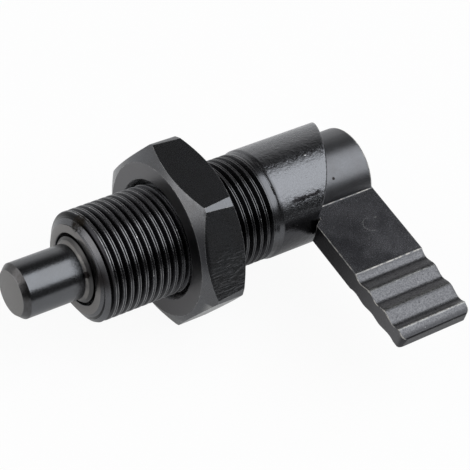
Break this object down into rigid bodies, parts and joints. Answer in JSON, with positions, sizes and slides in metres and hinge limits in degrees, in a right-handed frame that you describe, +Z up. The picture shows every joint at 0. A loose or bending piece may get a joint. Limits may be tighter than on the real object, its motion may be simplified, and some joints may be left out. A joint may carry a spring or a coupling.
{
  "type": "indexing plunger",
  "caption": "Cam-action indexing plunger: turning the flat lever draws the spring-loaded pin back into its threaded sleeve, which a hexagon nut locks in a panel.",
  "frame": {"origin": "on the plunger's axis, in the plane of the lock nut's seating face", "axes": "+X along the axis from the pin's tip towards the lever, +Z up through the top side of the lever's arm, the arm points to -Y"},
  "size_m": [0.0711, 0.055, 0.031],
  "materials": {
    "sleeve_steel": "black oxide on turned steel",
    "pin_steel": "black oxide on ground and turned steel",
    "spring_steel": "oiled spring wire",
    "lever_steel": "black oxide on blasted steel",
    "retainer_steel": "ground steel",
    "nut_steel": "black oxide on turned and sheared steel"
  },
  "bodies": {
    "sleeve": {"guide_sleeve": "sleeve_steel", "spring": "spring_steel"},
    "plunger": {"plunger_pin": "pin_steel"},
    "lever": {"lever": "lever_steel", "retaining_pin": "retainer_steel"},
    "lock_nut": {"lock_nut": "nut_steel"}
  },
  "joints": [
    {"name": "pin_slide", "type": "slide", "parent": "sleeve", "child": "plunger", "axis": [1, 0, 0], "range_m": [0, 0.01249], "deforming": ["spring"]},
    {"name": "lever_turn", "type": "hinge", "parent": "plunger", "child": "lever", "pos_m": [0, 0, 0], "axis": [-1, 0, 0], "range_deg": [0, 149.9], "stiffness_Nm_per_rad": 0.073, "springref_deg": -59.99},
    {"name": "nut_turn", "type": "hinge", "parent": "sleeve", "child": "lock_nut", "pos_m": [0, 0, 0], "axis": [1, 0, 0], "continuous": true}
  ],
  "couplings": [
    {"joint": "lever_turn", "follows": "pin_slide", "rad_per_m": 209.38}
  ]
}
